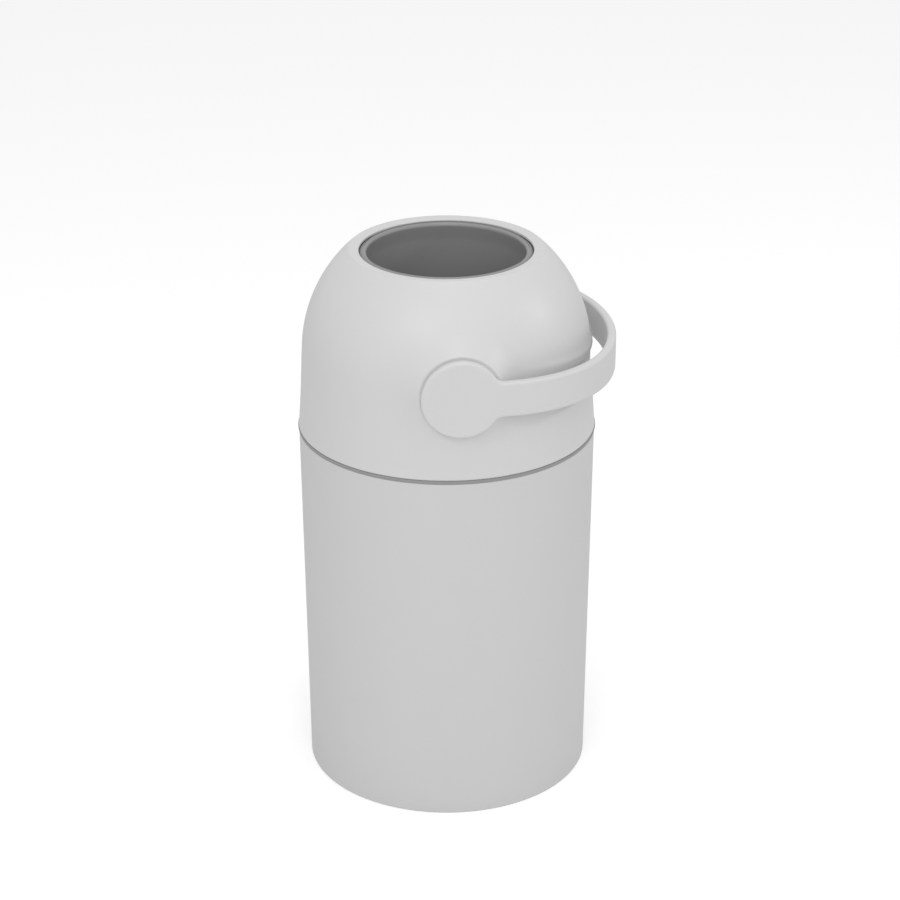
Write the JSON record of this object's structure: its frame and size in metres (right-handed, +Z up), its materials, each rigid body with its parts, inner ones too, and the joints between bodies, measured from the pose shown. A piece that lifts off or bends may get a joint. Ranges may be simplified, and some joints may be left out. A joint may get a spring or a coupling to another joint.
{
  "type": "nappy bin",
  "caption": "Round pail with a lift-off domed hood. A handle turns a drum with a straight chute half a turn inside the hood, and a weighted piston pushes the nappy into the pail.",
  "frame": {"origin": "centre of the base's underside, on the floor", "axes": "+Z up along the bin's axis, Y along the drum's axis, +X towards the handle's grip at rest"},
  "size_m": [0.299, 0.2986, 0.5255],
  "materials": {
    "bin_white": "fine satin moulded polypropylene, off-white",
    "hood_white": "fine satin moulded polypropylene, off-white",
    "ring_grey": "satin grey moulded plastic",
    "drum_grey": "satin mid-grey moulded plastic",
    "piston_grey": "satin mid-grey moulded plastic",
    "trunnion_grey": "glass-filled nylon",
    "bush_acetal": "natural acetal",
    "seal_rubber": "soft black rubber",
    "felt": "dense felt",
    "screw_steel": "zinc-plated steel",
    "weight_iron": "plain cast disc"
  },
  "bodies": {
    "bin": {"bin_body": "bin_white", "bag_ring": "ring_grey", "rim_gasket": "seal_rubber"},
    "hood": {"hood_shell": "hood_white", "seal_plate": "ring_grey", "plate_screws": "screw_steel", "top_seal": "seal_rubber", "lower_seal": "seal_rubber", "hub_bushes": "bush_acetal", "hub_felts": "felt"},
    "drum": {"drum_upper": "drum_grey", "drum_lower": "drum_grey", "drum_screws": "screw_steel", "chute_liner": "drum_grey", "trunnions": "trunnion_grey", "handle": "hood_white", "handle_screws": "screw_steel"},
    "piston": {"piston_body": "piston_grey", "piston_cap": "piston_grey", "piston_weight": "weight_iron", "piston_seal": "seal_rubber"}
  },
  "joints": [
    {"name": "hood_lift", "type": "slide", "parent": "bin", "child": "hood", "axis": [0, 0, 1], "range_m": [0, 0.25]},
    {"name": "drum_turn", "type": "hinge", "parent": "hood", "child": "drum", "pos_m": [0, 0, 0.4345], "axis": [0, -1, 0], "range_deg": [0, 180]},
    {"name": "piston_slide", "type": "slide", "parent": "drum", "child": "piston", "axis": [0, 0, 1], "range_m": [0, 0.1128]}
  ]
}
